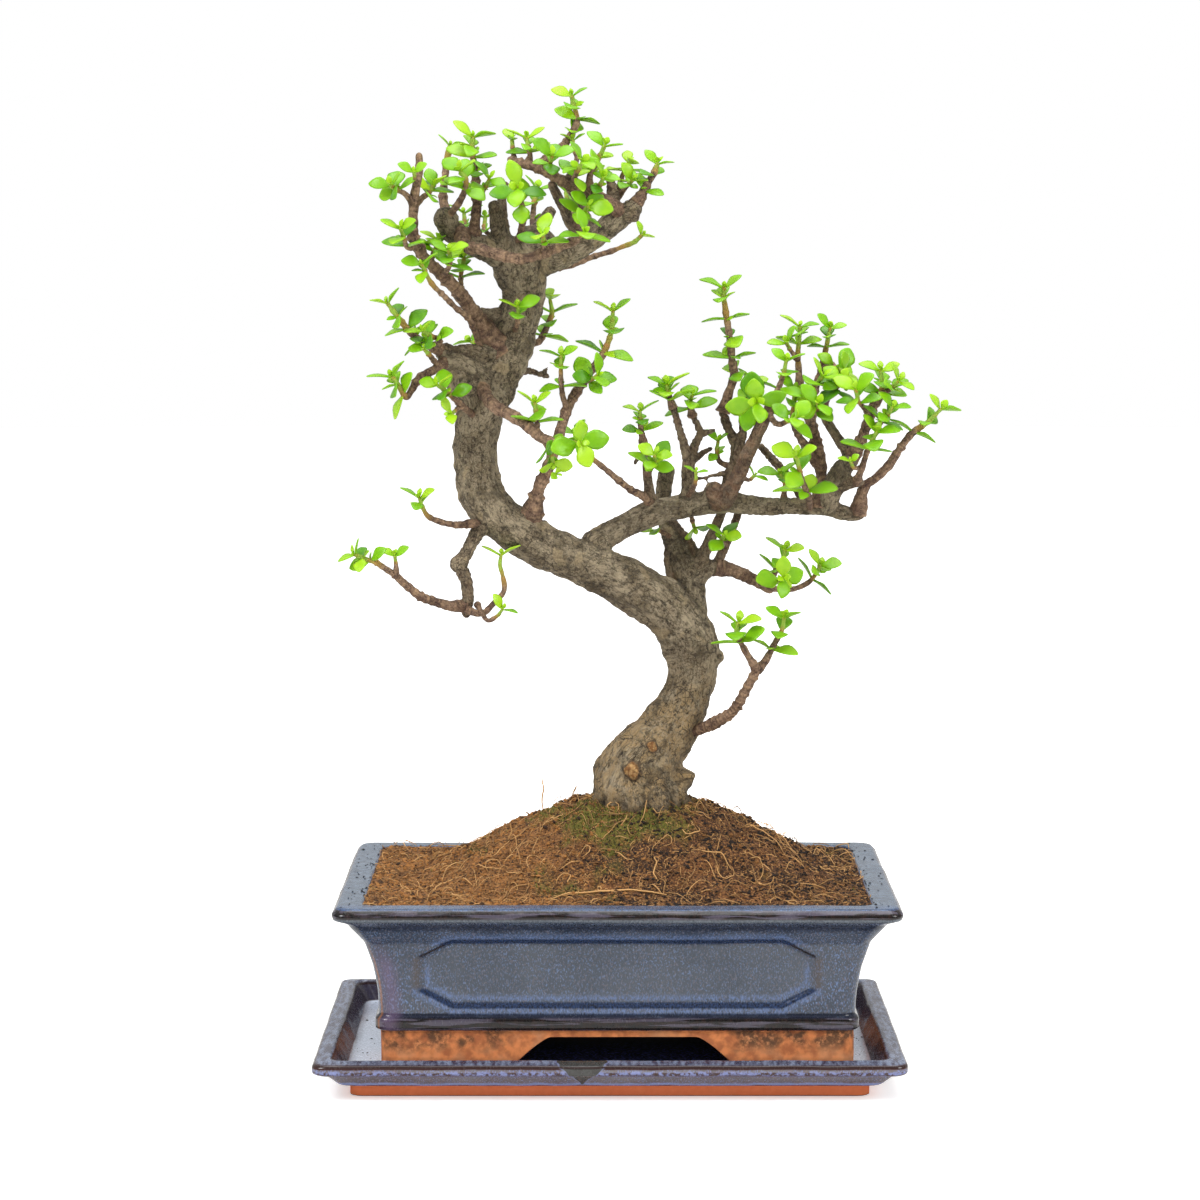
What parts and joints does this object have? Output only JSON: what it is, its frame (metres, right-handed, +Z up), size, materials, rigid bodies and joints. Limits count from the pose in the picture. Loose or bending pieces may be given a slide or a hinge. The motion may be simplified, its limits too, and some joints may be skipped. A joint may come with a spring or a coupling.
{
  "type": "potted dwarf jade bonsai tree",
  "caption": "Old twisted bonsai tree with small thick round leaves, in a glazed rectangular pot with feet on a drip tray.",
  "frame": {"origin": "middle of the drip tray's underside", "axes": "+Z up, the pot's front face towards -Y, the pot's long side along X, the low side branch towards +X"},
  "size_m": [0.3017, 0.196, 0.4645],
  "materials": {
    "glaze_tray": "gloss",
    "glaze_pot": "gloss",
    "soil": "rough",
    "drain_mesh": "matte",
    "bark": "rough",
    "leaves": "satin"
  },
  "bodies": {
    "root": {"drip_tray": "glaze_tray", "pot": "glaze_pot", "drain_mesh_left": "drain_mesh", "drain_mesh_right": "drain_mesh", "soil": "soil", "trunk_and_branches": "bark", "leafy_branch_top_arch": "leaves", "leafy_twig_top_right": "leaves", "leafy_twig_top_right_inner": "leaves", "leafy_twig_crown_front": "leaves", "leafy_branch_front_arch": "leaves", "leafy_twig_round_leaf": "leaves", "leafy_twig_left_whorl": "leaves", "leafy_twig_left_knob": "leaves", "leafy_twig_left_post": "leaves", "leafy_twig_crown_back_left": "leaves", "leafy_twig_crown_back": "leaves", "leafy_twig_crown_back_middle": "leaves", "leafy_twig_crown_back_right": "leaves", "leafy_twig_right_whisker": "leaves", "leafy_branch_far_left": "leaves", "leafy_twig_left_thin": "leaves", "leafy_branch_left_spray": "leaves", "leafy_twig_left_drooping": "leaves", "leafy_twig_left_foreground": "leaves", "leafy_twig_behind_trunk": "leaves", "leafy_twig_trunk_front": "leaves", "leafy_twig_trunk_right": "leaves", "leafy_branch_middle_upright": "leaves", "leafy_branch_front_ringed": "leaves", "leafy_twig_long_thin": "leaves", "leafy_twig_first_upright": "leaves", "leafy_twig_first_side": "leaves", "leafy_twig_second_left": "leaves", "leafy_twig_second_right": "leaves", "leafy_twig_tall_shoot": "leaves", "leafy_twig_big_leaves": "leaves", "leafy_twig_third_fork": "leaves", "leafy_twig_third_side": "leaves", "leafy_twig_scar_shoot": "leaves", "leafy_twig_red_side": "leaves", "leafy_twig_red_tip": "leaves", "leafy_twig_red_back": "leaves", "leafy_branch_right_upright": "leaves", "leafy_twig_limb_front": "leaves", "leafy_twig_limb_back": "leaves", "leafy_twig_inner_right": "leaves", "leafy_branch_right_outer": "leaves", "leafy_twig_right_burl": "leaves", "leafy_twig_limb_end": "leaves", "leafy_twig_link": "leaves", "leafy_twig_under_limb": "leaves", "leafy_twig_secondary": "leaves", "leafy_branch_right_low": "leaves", "leafy_branch_low_right": "leaves", "leafy_twig_low_left_upper": "leaves", "leafy_branch_low_left": "leaves", "leafy_twig_low_left_hook": "leaves"}
  },
  "joints": []
}
